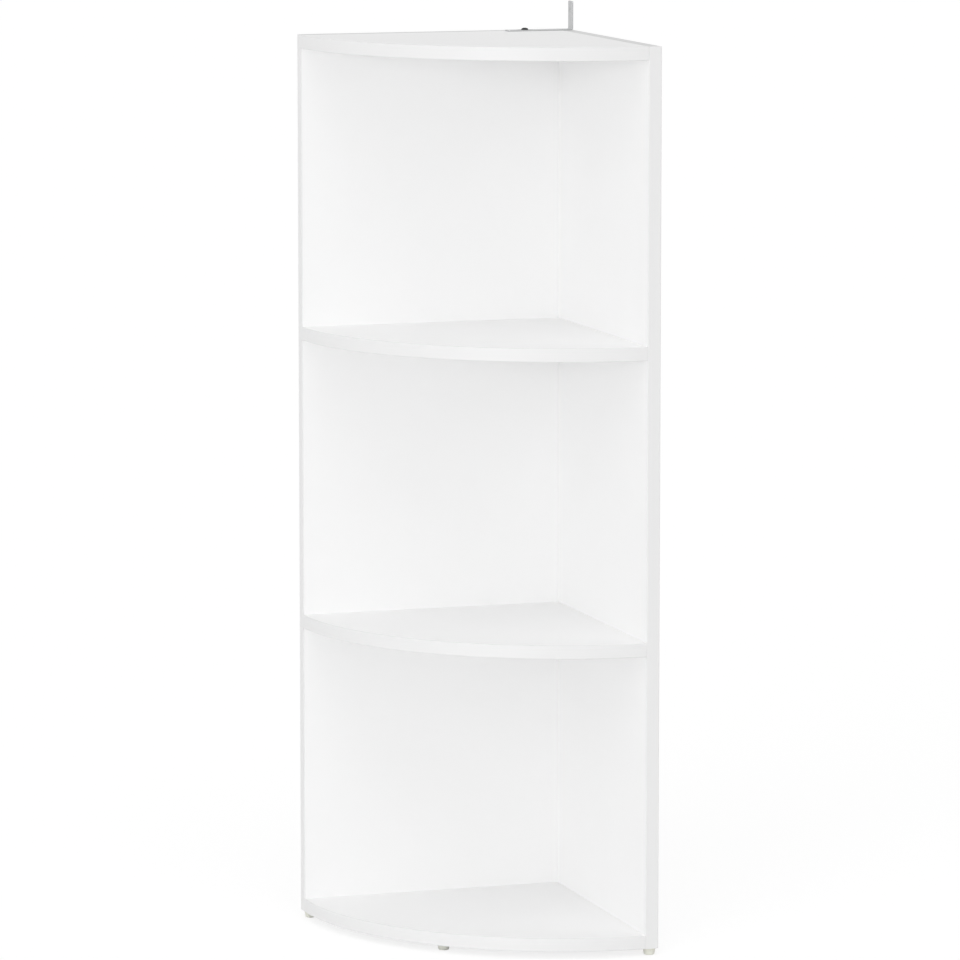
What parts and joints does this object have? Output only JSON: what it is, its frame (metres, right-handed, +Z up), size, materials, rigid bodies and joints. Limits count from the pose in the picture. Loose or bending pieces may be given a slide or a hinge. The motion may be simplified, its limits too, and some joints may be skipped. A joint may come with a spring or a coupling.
{
  "type": "corner shelf unit",
  "caption": "Tall quarter-round corner shelf unit: side panels at a right angle carry rounded boards, on small plastic feet, with a steel wall bracket on top.",
  "frame": {"origin": "on the floor, under the middle of the square footprint", "axes": "+Z up; the side panels stand at +X and +Y and meet at the rear corner; the rounded open side faces -X and -Y"},
  "size_m": [0.34, 0.34, 1.1065],
  "materials": {
    "white_melamine": "chipboard with a white melamine coating, satin, very fine pearl texture",
    "white_edge_band": "white ABS edge band, satin",
    "foot_plastic": "moulded pale grey plastic",
    "cam_zinc": "die-cast zinc, dull",
    "fitting_steel": "zinc-plated steel",
    "bracket_steel": "zinc-plated sheet steel, satin",
    "black_screw": "black phosphated steel",
    "beech": "beech, unfinished"
  },
  "bodies": {
    "root": {"left_side_panel": "white_melamine", "right_side_panel": "white_melamine", "top_board": "white_melamine", "upper_shelf": "white_melamine", "lower_shelf": "white_melamine", "bottom_board": "white_melamine", "left_panel_front_band": "white_edge_band", "left_panel_top_band": "white_edge_band", "right_panel_front_band": "white_edge_band", "right_panel_top_band": "white_edge_band", "right_panel_rear_band": "white_edge_band", "top_board_band": "white_edge_band", "upper_shelf_band": "white_edge_band", "lower_shelf_band": "white_edge_band", "bottom_board_band": "white_edge_band", "foot_left": "foot_plastic", "foot_right": "foot_plastic", "foot_rear": "foot_plastic", "foot_middle": "foot_plastic", "wall_bracket": "bracket_steel", "wall_bracket_screw": "black_screw", "bottom_board_left_rear_cam": "cam_zinc", "bottom_board_left_front_cam": "cam_zinc", "bottom_board_right_rear_cam": "cam_zinc", "bottom_board_right_front_cam": "cam_zinc", "lower_shelf_left_rear_cam": "cam_zinc", "lower_shelf_left_front_cam": "cam_zinc", "lower_shelf_right_rear_cam": "cam_zinc", "lower_shelf_right_front_cam": "cam_zinc", "upper_shelf_left_rear_cam": "cam_zinc", "upper_shelf_left_front_cam": "cam_zinc", "upper_shelf_right_rear_cam": "cam_zinc", "upper_shelf_right_front_cam": "cam_zinc", "top_board_left_rear_cam": "cam_zinc", "top_board_left_front_cam": "cam_zinc", "top_board_right_rear_cam": "cam_zinc", "top_board_right_front_cam": "cam_zinc", "bottom_board_left_rear_bolt": "fitting_steel", "bottom_board_left_front_bolt": "fitting_steel", "bottom_board_right_rear_bolt": "fitting_steel", "bottom_board_right_front_bolt": "fitting_steel", "lower_shelf_left_rear_bolt": "fitting_steel", "lower_shelf_left_front_bolt": "fitting_steel", "lower_shelf_right_rear_bolt": "fitting_steel", "lower_shelf_right_front_bolt": "fitting_steel", "upper_shelf_left_rear_bolt": "fitting_steel", "upper_shelf_left_front_bolt": "fitting_steel", "upper_shelf_right_rear_bolt": "fitting_steel", "upper_shelf_right_front_bolt": "fitting_steel", "top_board_left_rear_bolt": "fitting_steel", "top_board_left_front_bolt": "fitting_steel", "top_board_right_rear_bolt": "fitting_steel", "top_board_right_front_bolt": "fitting_steel", "bottom_board_left_dowel": "beech", "bottom_board_right_dowel": "beech", "top_board_left_dowel": "beech", "top_board_right_dowel": "beech", "corner_dowel_1": "beech", "corner_dowel_2": "beech", "corner_dowel_3": "beech"}
  },
  "joints": []
}
